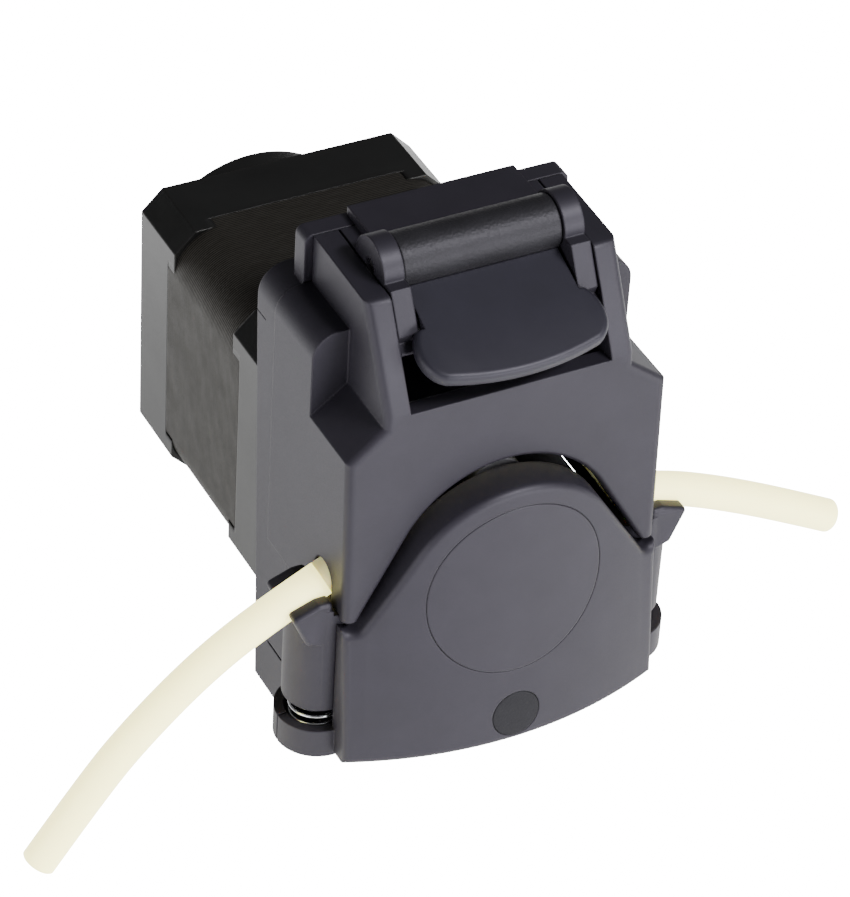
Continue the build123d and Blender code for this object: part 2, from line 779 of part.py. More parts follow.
def upper_cover():
    """The lift-up cover that holds the track and closes over the tube."""
    wide = block((-cover_half_width, cover_half_width), (-cover_rear, -wide_front_depth),
                 (skirt_bottom, wide_top))
    wide = rounded(wide, edges_along(wide, Axis.Y, lambda c: c.Z > 0), wide_corner_radius)
    shape = slab_y([(-cover_half_width, lobe_bottom), (cover_half_width, lobe_bottom),
                    (cover_half_width, shelf_outer_height), (arm_outer, shelf_inner_height),
                    (arm_outer, arm_top + 1), (-arm_outer, arm_top + 1), (-arm_outer, shelf_inner_height),
                    (-cover_half_width, shelf_outer_height)], -cover_rear, -face_depth_low - 1)
    side = slab_x(face_profile(cover_rear, lobe_bottom - 6), -cover_half_width, cover_half_width)
    shell = shape & side
    front = [f for f in shell.faces() if f.normal_at().Y < -0.6]
    rim = [e for f in front for e in f.edges() if abs(e.center().Z - face_break_height) > seat_gap
           and e.center().Z > lobe_bottom + seat_gap]
    shell = rounded(shell, rim, cover_edge_radius)
    body = wide + shell
    body -= block((-window_half_width, window_half_width), (-cover_rear, -face_depth_low - 2),
                  (window_bottom, arm_top + 2))
    body -= block((-window_half_width, window_half_width), (-cover_rear, -face_depth_high + front_wall),
                  (well_floor, window_bottom + 1))
    body -= rod_y(cover_cavity_radius, -cover_rear, -front_split)
    body -= block((-cover_cavity_radius, cover_cavity_radius), (-cover_rear, -front_split),
                  (skirt_bottom - 1, 0))
    body -= arch_cut(front_split - 1, face_depth_low + 3)
    body = rounded(body, arch_edges(body), arch_edge_radius)
    body -= block((-relief_half_width, relief_half_width), (-cover_rear, -relief_depth),
                  (hinge_height - cheek_radius - cover_lift, arm_top + 2))
    for side in (-1, 1):
        body -= tube_way(side)
    body -= both_sides(block((clamp_slot_inner, cover_half_width + 1),
                             (-tube_depth - groove_radius, -tube_depth + groove_radius),
                             (skirt_bottom - 1, clamp_top + gap)))
    groove = block((rail_offset - rail_width / 2 - gap, rail_offset + rail_width / 2 + gap),
                   (-cover_rear, -seam_depth - rail_depth - gap),
                   (rail_bottom - cover_lift - gap, rail_top + lift_spring_length + gap))
    body -= both_sides(groove)
    body -= rod_x(lift_pin_radius + seat_gap, -lift_pin_half, lift_pin_half, -hinge_depth, lift_pin_height)
    return body


def occlusion_track():
    """The hard arch that the rollers press the tube against."""
    depth_a, depth_b = tube_depth - pressed_width / 2 - 1.0, front_split - seat_gap
    ring = rod_y(track_outer_radius, -depth_a, -depth_b) - rod_y(track_radius, -depth_a, -depth_b)
    low = track_radius * sin(radians(pressed_end_angle)) + 1.0
    return ring & block((-track_outer_radius, track_outer_radius), (-depth_a, -depth_b),
                        (low, track_outer_radius))


# ---- front housing -----------------------------------------------------------------
def crowned_block():
    """A tall drum whose side is the housing's crowned front, leaning back at the top."""
    lean = Pos(0, 0, front_bottom) * Rot(-face_lean, 0, 0) * Pos(0, 0, -front_bottom)
    return lean * Pos(0, -crown_axis_depth, 0) * Cylinder(crown_radius, 4 * bell_radius)


def front_outline():
    """The front housing seen from the front: a bell with flared sides, on a block with two notches."""
    turn = radians(bell_side_angle)
    bell_side = (bell_radius * cos(turn), bell_radius * sin(turn))
    right = [(front_half_width, front_bottom), (front_half_width, shoulder_height),
             (notch_x, notch_height), bell_side]
    left = [(-x, z) for x, z in reversed(right)]
    lines = [Line(a, b) for points in (right, left) for a, b in zip(points, points[1:])]
    return lines + [ThreePointArc(bell_side, (0, bell_radius), left[0]), Line(left[-1], right[0])]


def front_body():
    """The front housing's outer form, before its hollows are cut."""
    face = front_plane(front_split) * make_face(Curve() + front_outline())
    body = extrude(face, amount=crown_depth_at_base) & crowned_block()
    notches = edges_along(body, Axis.Y, lambda c: abs(abs(c.X) - notch_x) < seat_gap)
    body = rounded(body, notches, notch_radius)
    rim = [e for e in body.edges() if e.center().Y < -front_split - 2 and abs((e % 0.5).Y) < 0.9]
    return rounded(body, rim, front_edge_radius)


def front_housing():
    """The fixed lower front cover, with the bell over the rotor and the fronts of the clamp cups."""
    ear = half_cup(-tube_depth - gap, -tube_depth - cup_radius, base_half_width + gap)
    body = front_body() + both_sides(ear)
    body -= both_sides(clamp_room())
    body -= rod_y(bell_radius - bell_wall, -front_split, -front_plate_front - gap)
    body -= rod_y(front_bush_radius + seat_gap, -front_plate_front, -bush_front - seat_gap)
    body -= rod_y(badge_radius + badge_gap, -badge_floor_depth, -crown_depth_at_base - 9, 0,
                  badge_height)
    body -= rod_y(plug_radius + badge_gap, -plug_floor_depth, -crown_depth_at_base - 9, 0, plug_height)
    seat = plug_floor_depth - front_screw_head_height - 1.0
    body -= rod_y(front_screw_head_radius + gap, -seat, -plug_floor_depth, 0, plug_height)
    body -= rod_y(front_screw_radius + gap, -front_split, -seat, 0, plug_height)
    half = dowel_length / 2 + dowel_end_gap
    return body - both_sides(rod_y(dowel_radius + seat_gap, -front_split, -front_split - half,
                                   dowel_x, dowel_height))


def badge_disc():
    """The plain round badge let into the bell."""
    return front_body() & rod_y(badge_radius, -badge_floor_depth, -crown_depth_at_base - 9, 0, badge_height)


def screw_plug():
    """The round plug that hides the front screw."""
    return front_body() & rod_y(plug_radius, -plug_floor_depth, -crown_depth_at_base - 9, 0, plug_height)


def front_screw():
    """The screw that holds the front housing to the base."""
    seat = plug_floor_depth - front_screw_head_height - 1.0
    screw = rod_y(front_screw_head_radius, -seat, -seat - front_screw_head_height, 0, plug_height)
    screw -= rod_y(1.2, -seat - 1.0, -seat - front_screw_head_height, 0, plug_height)
    return screw + rod_y(front_screw_radius, -seat, -seat + front_screw_length, 0, plug_height)


# ---- tube clamps -------------------------------------------------------------------
def tube_clamp(side):
    """A sprung plunger with a vee and two prongs that grips the tube at its exit."""
    post = rod_z(clamp_radius, clamp_bottom, clamp_top + 1.0, clamp_x, -tube_depth)
    inner = clamp_x + gap + 0.4
    outline = [(inner, prong_top), (inner + 2.6, prong_top), (prong_reach, prong_top - prong_slant),
               (prong_reach - 3.0, prong_bottom - 0.4), (inner, prong_bottom - 2.0)]
    spans = ((prong_half_spread - prong_thickness, prong_half_spread),
             (-prong_half_spread, -prong_half_spread + prong_thickness))
    clamp = post
    for a, b in spans:
        prong = slab_y(outline, -tube_depth - min(a, b), -tube_depth - max(a, b))
        clamp += rounded(prong, prong.edges(), prong_edge_radius)
    half = tube_outer_radius + gap
    rise = half / tan(radians(vee_angle / 2))
    floor = exit_height - half / sin(radians(vee_angle / 2))
    vee = slab_x([(-tube_depth, floor), (-tube_depth - half, floor + rise),
                  (-tube_depth - half, prong_top + 20), (-tube_depth + half, prong_top + 20),
                  (-tube_depth + half, floor + rise)], exit_x - 2 * clamp_radius, prong_reach + 4)
    turn = Pos(exit_x, 0, exit_height) * Rot(0, vee_flare, 0) * Pos(-exit_x, 0, -exit_height)
    vee = turn * vee
    inside = block((clamp_x - clamp_radius - 1, inner), (-tube_depth - prong_half_spread - 1,
                                                         -tube_depth + prong_half_spread + 1),
                   (clamp_top, prong_top + 2))
    clamp = clamp - vee - inside
    return clamp if side > 0 else mirror(clamp, about=Plane.YZ)


def clamp_spring(side):
    """The spring under a tube clamp."""
    return coil_spring(clamp_spring_radius, clamp_spring_wire, clamp_spring_turns,
                       side * clamp_x, -tube_depth, cup_floor + seat_gap, clamp_bottom - seat_gap)


# ---- lever and yoke ----------------------------------------------------------------
def face_arm_depth(height):
    """How far forward the cover's arms reach at a height."""
    lean = (face_depth_high - arm_front_depth) / (arm_top - face_break_height)
    return arm_front_depth + lean * (arm_top - height)


def paddle_frame():
    """The frame of the thumb plate's underside: x towards its nose, z up."""
    droop = radians(paddle_droop)
    forward = (0, -cos(droop), -sin(droop))
    up = (0, -sin(droop), cos(droop))
    under = paddle_top_offset - paddle_thickness
    return Plane(origin=(0, -hinge_depth + up[1] * under, hinge_height + up[2] * under),
                 x_dir=forward, z_dir=up)


def paddle_room():
    """The room in front of the arms that the plate's ears swing up through."""
    start = paddle_ear_reach - gap
    return paddle_frame() * Pos(start + barrel_radius * 2, 0, barrel_radius * 2 - gap) * Box(
        barrel_radius * 4, 4 * cheek_outer, barrel_radius * 4)


def lever_yoke():
    """The fixed bracket that carries the lever: pad, back wall, cheeks and arms."""
    toe_low = yoke_toe_height - yoke_toe
    toe_depth = face_arm_depth(yoke_toe_height) - arm_recess
    arm = slab_x([(-cover_rear, yoke_bottom), (-cover_rear, tower_top),
                  (-face_arm_depth(tower_top) + arm_recess, tower_top), (-toe_depth, yoke_toe_height),
                  (-toe_depth + yoke_toe, toe_low),
                  (-toe_depth + yoke_toe + (toe_low - yoke_bottom) / yoke_toe_slope, yoke_bottom)],
                 cheek_inner, yoke_arm_outer)
    arm = rounded(arm, edges_along(arm, Axis.X, lambda c: c.Y < -toe_depth + 2 * yoke_toe), yoke_toe_radius)
    arm -= paddle_room()
    cheek = rod_x(cheek_radius, cheek_inner, cheek_outer, -hinge_depth, hinge_height)
    slot = block((cheek_inner - 1, cheek_outer + 1),
                 (-hinge_depth - lift_pin_radius - gap, -hinge_depth + lift_pin_radius + gap),
                 (yoke_bottom - 1, lift_pin_height + cover_lift + lift_pin_radius + gap))
    web = both_sides(arm + cheek - slot)
    back = block((-cheek_inner, cheek_inner), (-cover_rear, -cover_rear - yoke_back_wall),
                 (yoke_bottom, tower_top))
    front_of_pad = hinge_depth - barrel_radius - gap
    pad = block((-pad_half_width, pad_half_width), (-pad_rear_depth, -front_of_pad),
                (tower_top, tower_top + pad_thickness))
    bracket = web + back + pad
    bracket -= rod_x(barrel_radius + gap, -cheek_inner, cheek_inner, -hinge_depth, hinge_height)
    bracket -= cam_lobe(gap)
    bracket -= rod_x(hinge_pin_radius + seat_gap, -cheek_outer, cheek_outer, -hinge_depth, hinge_height)
    bracket -= both_sides(rod_y(yoke_screw_radius + gap, -cover_rear, -cover_rear - yoke_back_wall,
                                yoke_screw_x, yoke_screw_height))
    return bracket


def yoke_screws():
    """Screws through the yoke's back wall into the tower."""
    seat = cover_rear + yoke_back_wall
    return [rod_y(yoke_screw_radius, -seat + yoke_screw_length, -seat, x, yoke_screw_height)
            + rod_y(yoke_screw_head_radius, -seat, -seat - yoke_screw_head_height, x, yoke_screw_height)
            for x in (-yoke_screw_x, yoke_screw_x)]


def hinge_pin():
    """The steel pin that the lever turns on."""
    half = cheek_outer - hinge_pin_recess
    return rod_x(hinge_pin_radius, -half, half, -hinge_depth, hinge_height)


def cam_lobe(grow=0.0):
    """The spiral cam below the barrel, whose reach shrinks evenly as the lever turns."""
    points = [(-hinge_depth, hinge_height)]
    start = radians(-cam_flank)
    for step in range(cam_steps + 1):
        turn = start + (radians(lever_angle) - start) * step / cam_steps
        reach = cam_reach - cover_lift * max(turn, 0) / radians(lever_angle) + grow
        points.append((-hinge_depth + reach * sin(turn), hinge_height - reach * cos(turn)))
    return slab_x(points, -cam_half_width - grow, cam_half_width + grow)


def cam_barrel():
    """The barrel of the lever, with the spiral cam that holds the cover down."""
    half = cheek_inner - gap
    barrel = rod_x(barrel_radius, -half, half, -hinge_depth, hinge_height) + cam_lobe()
    return barrel - rod_x(hinge_pin_radius + running_gap, -half, half, -hinge_depth, hinge_height)


def thumb_paddle():
    """The flat thumb plate of the lever."""
    start = barrel_radius - 1.0
    outline = [Line((start, -paddle_neck), (paddle_ear_reach, -paddle_neck)),
               Line((paddle_ear_reach, -paddle_neck), (paddle_ear_reach, -paddle_ear_half)),
               Spline((paddle_ear_reach, -paddle_ear_half), (paddle_ear_reach + 3.4, -paddle_half),
                      (paddle_corner_reach, -paddle_half + 0.5), (paddle_front_reach, -paddle_front_half)),
               ThreePointArc((paddle_front_reach, -paddle_front_half), (paddle_nose_reach, 0),
                             (paddle_front_reach, paddle_front_half)),
               Spline((paddle_front_reach, paddle_front_half), (paddle_corner_reach, paddle_half - 0.5),
                      (paddle_ear_reach + 3.4, paddle_half), (paddle_ear_reach, paddle_ear_half)),
               Line((paddle_ear_reach, paddle_ear_half), (paddle_ear_reach, paddle_neck)),
               Line((paddle_ear_reach, paddle_neck), (start, paddle_neck)),
               Line((start, paddle_neck), (start, -paddle_neck))]
    plate = extrude(make_face(Curve() + outline), amount=paddle_thickness)
    rim = [e for e in plate.edges() if e.center().X > paddle_ear_reach + seat_gap
           and abs(e.center().Z - paddle_thickness / 2) > seat_gap]
    plate = paddle_frame() * rounded(plate, rim, paddle_edge_radius)
    plate -= rod_x(barrel_radius + seat_gap, -cheek_outer, cheek_outer, -hinge_depth, hinge_height)
    return plate - cam_lobe(seat_gap)


def lift_pin():
    """The steel cross pin in the cover, which the cam bears on."""
    half = lift_pin_half - seat_gap
    return rod_x(lift_pin_radius, -half, half, -hinge_depth, lift_pin_height)


def lift_spring(side):
    """The spring on a guide rail that pushes the cover up."""
    return coil_spring(lift_spring_radius, lift_spring_wire, lift_spring_turns, side * rail_offset,
                       -seam_depth - rail_depth / 2, rail_top + seat_gap,
                       rail_top + lift_spring_length - seat_gap)


def dowel_pins():
    """Pins that line the front housing up with the base."""
    return [rod_y(dowel_radius, -block_depth + dowel_length / 2, -block_depth - dowel_length / 2,
                  x, dowel_height) for x in (-dowel_x, dowel_x)]


pieces = {
    "motor_front_cap": motor_front_cap, "stator_stack": stator_stack, "motor_windings": motor_windings,
    "motor_magnet_rotor": motor_magnet_rotor, "drive_shaft": drive_shaft,
    "front_shaft_bearing": lambda: ball_bearing(bearing_inset),
    "rear_shaft_bearing": lambda: ball_bearing(shaft_bearing_rear),
    "motor_rear_cap": motor_rear_cap, "motor_connector": motor_connector,
    "motor_tie_screws": motor_tie_screws, "encoder_cover": encoder_cover, "encoder_disc": encoder_disc,
    "encoder_board": encoder_board, "flange_screws": flange_screws,
    "base_housing": base_housing, "mounting_inserts": mounting_inserts,
    "rotor_hub": rotor_hub,
    "rotor_rear_plate": lambda: carrier_plate(rear_plate_radius, rear_plate_depth,
                                              rear_plate_depth + plate_thickness),
    "rotor_front_plate": lambda: carrier_plate(front_plate_radius, front_plate_depth, front_plate_front),
    "roller_pins": roller_pins, "front_bush": front_bush,
    "pump_tube": pump_tube,
    "tube_left_end": lambda: tube_end("tube_left_end", -1, left_route),
    "tube_right_end": lambda: tube_end("tube_right_end", 1, right_route),
    "upper_cover": upper_cover, "occlusion_track": occlusion_track,
    "front_housing": front_housing, "badge_disc": badge_disc, "screw_plug": screw_plug,
    "front_screw": front_screw, "dowel_pins": dowel_pins,
    "left_tube_clamp": lambda: tube_clamp(-1), "right_tube_clamp": lambda: tube_clamp(1),
    "left_clamp_spring": lambda: clamp_spring(-1), "right_clamp_spring": lambda: clamp_spring(1),
    "lever_yoke": lever_yoke, "yoke_screws": yoke_screws, "hinge_pin": hinge_pin,
    "cam_barrel": cam_barrel, "thumb_paddle": thumb_paddle, "lift_pin": lift_pin,
    "left_lift_spring": lambda: lift_spring(-1), "right_lift_spring": lambda: lift_spring(1),
}
for number in range(roller_count):
    pieces[f"roller_{number + 1}"] = lambda number=number: roller(number)

os.makedirs("parts", exist_ok=True)
for name, make in pieces.items():
    shape = make()
    solids = shape if isinstance(shape, list) else shape.solids()
    export_step(Compound(children=list(solids)) if len(solids) > 1 else solids[0], f"parts/{name}.step")
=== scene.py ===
"""Dresses the peristaltic pump head: its finishes, its tube, its moulded edges and the studio."""
import json
import logging
import math
from dataclasses import dataclass
from enum import Enum

import bmesh
import bpy
import numpy as np
from mathutils import Matrix, Vector

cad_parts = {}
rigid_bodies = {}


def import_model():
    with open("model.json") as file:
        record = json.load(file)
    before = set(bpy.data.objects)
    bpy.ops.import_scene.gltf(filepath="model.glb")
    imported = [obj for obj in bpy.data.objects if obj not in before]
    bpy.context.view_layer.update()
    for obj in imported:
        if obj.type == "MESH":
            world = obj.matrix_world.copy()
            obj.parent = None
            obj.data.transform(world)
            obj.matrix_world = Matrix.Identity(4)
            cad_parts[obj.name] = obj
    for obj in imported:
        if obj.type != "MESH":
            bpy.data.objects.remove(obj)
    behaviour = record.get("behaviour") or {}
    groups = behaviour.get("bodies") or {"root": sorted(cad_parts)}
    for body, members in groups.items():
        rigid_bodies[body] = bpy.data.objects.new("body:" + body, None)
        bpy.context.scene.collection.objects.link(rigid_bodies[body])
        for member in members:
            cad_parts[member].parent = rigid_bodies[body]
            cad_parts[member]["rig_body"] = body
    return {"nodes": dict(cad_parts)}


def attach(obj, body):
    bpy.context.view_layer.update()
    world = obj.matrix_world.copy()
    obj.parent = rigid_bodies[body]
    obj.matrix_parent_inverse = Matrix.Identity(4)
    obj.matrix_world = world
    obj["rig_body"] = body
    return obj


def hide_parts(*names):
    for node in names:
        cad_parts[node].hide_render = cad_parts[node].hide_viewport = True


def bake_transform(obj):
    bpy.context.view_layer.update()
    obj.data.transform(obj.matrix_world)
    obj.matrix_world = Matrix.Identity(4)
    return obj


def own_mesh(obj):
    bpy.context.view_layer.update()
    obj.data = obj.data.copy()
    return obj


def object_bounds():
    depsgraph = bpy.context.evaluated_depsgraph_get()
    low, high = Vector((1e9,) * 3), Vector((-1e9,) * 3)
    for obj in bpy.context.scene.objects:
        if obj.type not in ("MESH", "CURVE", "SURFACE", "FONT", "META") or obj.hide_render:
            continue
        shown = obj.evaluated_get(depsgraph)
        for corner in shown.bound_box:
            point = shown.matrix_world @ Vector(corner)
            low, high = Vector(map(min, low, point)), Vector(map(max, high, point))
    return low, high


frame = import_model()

CAD_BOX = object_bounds()
MM = 0.001
LOG = logging.getLogger("pump_head")

Triple = tuple[float, float, float]


class Body(Enum):
    """The rigid bodies; the tube's ends are tied to the housing."""

    HOUSING = "housing"
    COVER = "cover"


# ---- finishes ------------------------------------------------------------------------


class Nodes:
    """A small helper that adds and joins shader nodes of one material."""

    noise_roughness = 0.55
    edge_samples = 6

    def __init__(self, name: str) -> None:
        """Starts an empty material.

        Args:
            name: The material's name.
        """
        self.material = bpy.data.materials.new(name)
        self.material.use_nodes = True
        self.tree = self.material.node_tree
        self.tree.nodes.clear()
        self.output = self.add("ShaderNodeOutputMaterial")
        self.coordinates = self.add("ShaderNodeTexCoord")

    def add(self, kind: str, **settings: object) -> bpy.types.Node:
        """Adds a node.

        Args:
            kind: The node's type name.
            **settings: Attributes, or inputs by name, with their values.

        Returns:
            The new node.
        """
        node = self.tree.nodes.new(kind)
        for key, value in settings.items():
            if key in node.inputs:
                node.inputs[key].default_value = value
            else:
                setattr(node, key, value)
        return node

    def link(self, source: bpy.types.NodeSocket, target: bpy.types.NodeSocket) -> None:
        """Joins an output to an input."""
        self.tree.links.new(source, target)

    def noise(self, size: float, detail: float = 3.0, stretch: Triple = (1, 1, 1),
              ) -> bpy.types.NodeSocket:
        """Adds a noise pattern on the piece's own coordinates.

        Args:
            size: The size of one grain, in metres.
            detail: How many finer layers it has.
            stretch: How much finer it is along each axis.

        Returns:
            The pattern's value, from 0 to 1.
        """
        place = self.add("ShaderNodeMapping")
        place.inputs["Scale"].default_value = [s / size for s in stretch]
        self.link(self.coordinates.outputs["Object"], place.inputs["Vector"])
        noise = self.add("ShaderNodeTexNoise", Scale=1.0, Detail=detail, Roughness=self.noise_roughness)
        self.link(place.outputs["Vector"], noise.inputs["Vector"])
        return noise.outputs["Fac"]

    def ramp(self, value: bpy.types.NodeSocket, low: tuple[float, ...], high: tuple[float, ...],
             start: float = 0.3, end: float = 0.7) -> bpy.types.NodeSocket:
        """Turns a value into a colour between two.

        Args:
            value: The value to read.
            low: The colour at the start.
            high: The colour at the end.
            start: The value of the first colour.
            end: The value of the second colour.

        Returns:
            The colour.
        """
        ramp = self.add("ShaderNodeValToRGB")
        first, last = ramp.color_ramp.elements
        first.position, last.position = start, end
        first.color, last.color = (*low, 1.0), (*high, 1.0)
        self.link(value, ramp.inputs["Fac"])
        return ramp.outputs["Color"]

    def spread(self, value: bpy.types.NodeSocket, low: float, high: float) -> bpy.types.NodeSocket:
        """Maps a value from 0..1 to another range."""
        span = self.add("ShaderNodeMapRange")
        span.inputs["To Min"].default_value = low
        span.inputs["To Max"].default_value = high
        self.link(value, span.inputs["Value"])
        return span.outputs["Result"]

    def bump(self, height: bpy.types.NodeSocket, depth: float, strength: float,
             below: bpy.types.NodeSocket | None = None) -> bpy.types.NodeSocket:
        """Adds a bump.

        Args:
            height: The pattern.
            depth: Its depth in metres.
            strength: How strongly it shows.
            below: A normal that it is laid over.

        Returns:
            The new normal.
        """
        bump = self.add("ShaderNodeBump")
        bump.inputs["Strength"].default_value = strength
        bump.inputs["Distance"].default_value = depth
        self.link(height, bump.inputs["Height"])
        if below is not None:
            self.link(below, bump.inputs["Normal"])
        return bump.outputs["Normal"]

    def soft_edge(self, radius: float) -> bpy.types.NodeSocket:
        """The surface's normal with its edges softened to a radius in metres."""
        bevel = self.add("ShaderNodeBevel", samples=self.edge_samples)
        bevel.inputs["Radius"].default_value = radius
        return bevel.outputs["Normal"]

    def finish(self, shader: bpy.types.Node) -> bpy.types.Material:
        """Joins the shader to the output.

        Args:
            shader: The shader's node.

        Returns:
            The finished material.
        """
        self.link(shader.outputs[0], self.output.inputs["Surface"])
        return self.material


@dataclass(frozen=True)
class MouldedPlastic:
    """A moulded plastic with a fine or coarse grain."""

    name: str
    colour: Triple
    roughness: float = 0.5
    grain: float = 0.16 * MM
    grain_depth: float = 0.012 * MM
    grain_strength: float = 0.35
    tone: float = 0.10
    cloud: float = 9 * MM
    gloss_spread: float = 0.08
    edge: float = 0.5 * MM
    specular: float = 0.3
    sheen: Triple = (0.92, 0.89, 1.0)

    def make(self) -> bpy.types.Material:
        """Builds the material: cloudy tone, fine grain in bump and gloss, soft edges."""
        nodes = Nodes(self.name)
        cloud = nodes.noise(self.cloud, 4)
        grain = nodes.noise(self.grain, 2)
        low = tuple(c * (1 - self.tone) for c in self.colour)
        high = tuple(c * (1 + self.tone) for c in self.colour)
        shader = nodes.add("ShaderNodeBsdfPrincipled")
        shader.inputs["Specular IOR Level"].default_value = self.specular
        shader.inputs["Specular Tint"].default_value = (*self.sheen, 1.0)
        nodes.link(nodes.ramp(cloud, low, high), shader.inputs["Base Color"])
        gloss = nodes.spread(grain, self.roughness - self.gloss_spread, self.roughness + self.gloss_spread)
        nodes.link(gloss, shader.inputs["Roughness"])
        normal = nodes.bump(grain, self.grain_depth, self.grain_strength, nodes.soft_edge(self.edge))
        nodes.link(normal, shader.inputs["Normal"])
        return nodes.finish(shader)


@dataclass(frozen=True)
class SatinPaint:
    """Black satin paint on cast metal, with a slight orange peel."""

    name: str
    colour: Triple = (0.005, 0.005, 0.005)
    roughness: float = 0.34
    specular: float = 0.24
    peel: float = 0.7 * MM
    peel_depth: float = 0.02 * MM
    smear: float = 14 * MM
    gloss_spread: float = 0.06
    edge: float = 0.5 * MM

    def make(self) -> bpy.types.Material:
        """Builds the material: even colour, soft waves in bump and gloss."""
        nodes = Nodes(self.name)
        peel = nodes.noise(self.peel, 3)
        smear = nodes.noise(self.smear, 4)
        shader = nodes.add("ShaderNodeBsdfPrincipled")
        low = tuple(c * 0.8 for c in self.colour)
        high = tuple(c * 1.25 for c in self.colour)
        nodes.link(nodes.ramp(smear, low, high), shader.inputs["Base Color"])
        gloss = nodes.spread(smear, self.roughness - self.gloss_spread, self.roughness + self.gloss_spread)
        nodes.link(gloss, shader.inputs["Roughness"])
        normal = nodes.bump(peel, self.peel_depth, 0.25, nodes.soft_edge(self.edge))
        shader.inputs["Specular IOR Level"].default_value = self.specular
        nodes.link(normal, shader.inputs["Normal"])
        return nodes.finish(shader)


@dataclass(frozen=True)
class LaminatedSteel:
    """Stacked steel sheets, seen from the edge."""

    name: str
    sheet: float = 0.5 * MM
    light: Triple = (0.040, 0.0375, 0.033)
    dark: Triple = (0.005, 0.0048, 0.0045)
    streak_tint: Triple = (0.55, 0.52, 0.48)
    streak: float = 0.5 * MM
    stain: float = 5 * MM
    groove: float = 0.05 * MM
    edge: float = 0.4 * MM
    metallic: float = 0.45
    specular: float = 0.12

    def make(self) -> bpy.types.Material:
        """Builds the material: one thin dark line per sheet across the motor's axis."""
        nodes = Nodes(self.name)
        wave = nodes.add("ShaderNodeTexWave", wave_type="BANDS", bands_direction="Y", wave_profile="SIN")
        wave.inputs["Scale"].default_value = math.pi / (10 * self.sheet)
        wave.inputs["Distortion"].default_value = 0.6
        wave.inputs["Detail"].default_value = 2.0
        wave.inputs["Detail Scale"].default_value = 3.0
        nodes.link(nodes.coordinates.outputs["Object"], wave.inputs["Vector"])
        stain = nodes.noise(self.stain, 4)
        streak = nodes.noise(self.streak, 3, (0.15, 1, 0.15))
        colour = nodes.ramp(wave.outputs["Fac"], self.dark, self.light, 0.15, 0.6)
        mix = nodes.add("ShaderNodeMix", data_type="RGBA", blend_type="MULTIPLY")
        mix.inputs["Factor"].default_value = 0.6
        nodes.link(colour, mix.inputs["A"])
        nodes.link(nodes.ramp(streak, self.streak_tint, (1.0, 1.0, 1.0)), mix.inputs["B"])
        shader = nodes.add("ShaderNodeBsdfPrincipled", Metallic=self.metallic)
        shader.inputs["Specular IOR Level"].default_value = self.specular
        nodes.link(mix.outputs["Result"], shader.inputs["Base Color"])
        nodes.link(nodes.spread(stain, 0.42, 0.62), shader.inputs["Roughness"])
        normal = nodes.bump(wave.outputs["Fac"], self.groove, 0.7, nodes.soft_edge(self.edge))
        nodes.link(normal, shader.inputs["Normal"])
        return nodes.finish(shader)


@dataclass(frozen=True)
class BareMetal:
    """A machined metal with fine turning marks."""

    name: str
    colour: Triple
    roughness: float = 0.28
    mark: float = 0.25 * MM
    mark_depth: float = 0.004 * MM
    smear: float = 3 * MM
    edge: float = 0.15 * MM

    def make(self) -> bpy.types.Material:
        """Builds the material: metal with drawn marks in gloss and bump."""
        nodes = Nodes(self.name)
        marks = nodes.noise(self.mark, 3, (0.2, 1, 1))
        smear = nodes.noise(self.smear, 3)
        shader = nodes.add("ShaderNodeBsdfPrincipled", Metallic=1.0)
        low = tuple(c * 0.85 for c in self.colour)
        nodes.link(nodes.ramp(smear, low, self.colour), shader.inputs["Base Color"])
        gloss = nodes.spread(marks, self.roughness - 0.08, self.roughness + 0.12)
        nodes.link(gloss, shader.inputs["Roughness"])
        normal = nodes.bump(marks, self.mark_depth, 0.3, nodes.soft_edge(self.edge))
        nodes.link(normal, shader.inputs["Normal"])
        return nodes.finish(shader)


@dataclass(frozen=True)
class SoftTube:
    """A cream elastomer that light spreads in, with an optional emission that paints a glow onto it."""

    name: str
    colour: Triple = (0.95, 0.90, 0.44)
    depth: float = 1.2 * MM
    scatter: float = 0.35
    scatter_reach: Triple = (1.0, 0.85, 0.55)
    refraction: float = 1.42
    cloud: float = 6 * MM
    skin: float = 0.3 * MM
    # The colour and strength of the emission: a painted glow, not a lamp.
    painted_glow_tint: Triple = (1.0, 0.93, 0.36)
    glow: float = 0.0

    def make(self) -> bpy.types.Material:
        """Builds the material: light that spreads under a satin skin with faint drawn lines, plus an
        emission that is painted glow.
        """
        nodes = Nodes(self.name)
        cloud = nodes.noise(self.cloud, 3)
        skin = nodes.noise(self.skin, 3)
        low = tuple(c * 0.95 for c in self.colour)
        shader = nodes.add("ShaderNodeBsdfPrincipled")
        shader.inputs["Subsurface Weight"].default_value = self.scatter
        shader.inputs["Subsurface Scale"].default_value = self.depth
        shader.inputs["Subsurface Radius"].default_value = self.scatter_reach
        # The emission is painted light: a glow that makes the tube brighter than the lamps light it.
        shader.inputs["Emission Color"].default_value = (*self.painted_glow_tint, 1.0)
        shader.inputs["Emission Strength"].default_value = self.glow
        shader.inputs["IOR"].default_value = self.refraction
        nodes.link(nodes.ramp(cloud, low, self.colour), shader.inputs["Base Color"])
        nodes.link(nodes.spread(skin, 0.30, 0.46), shader.inputs["Roughness"])
        nodes.link(nodes.bump(skin, 0.01 * MM, 0.2), shader.inputs["Normal"])
        return nodes.finish(shader)


# ---- shapes --------------------------------------------------------------------------


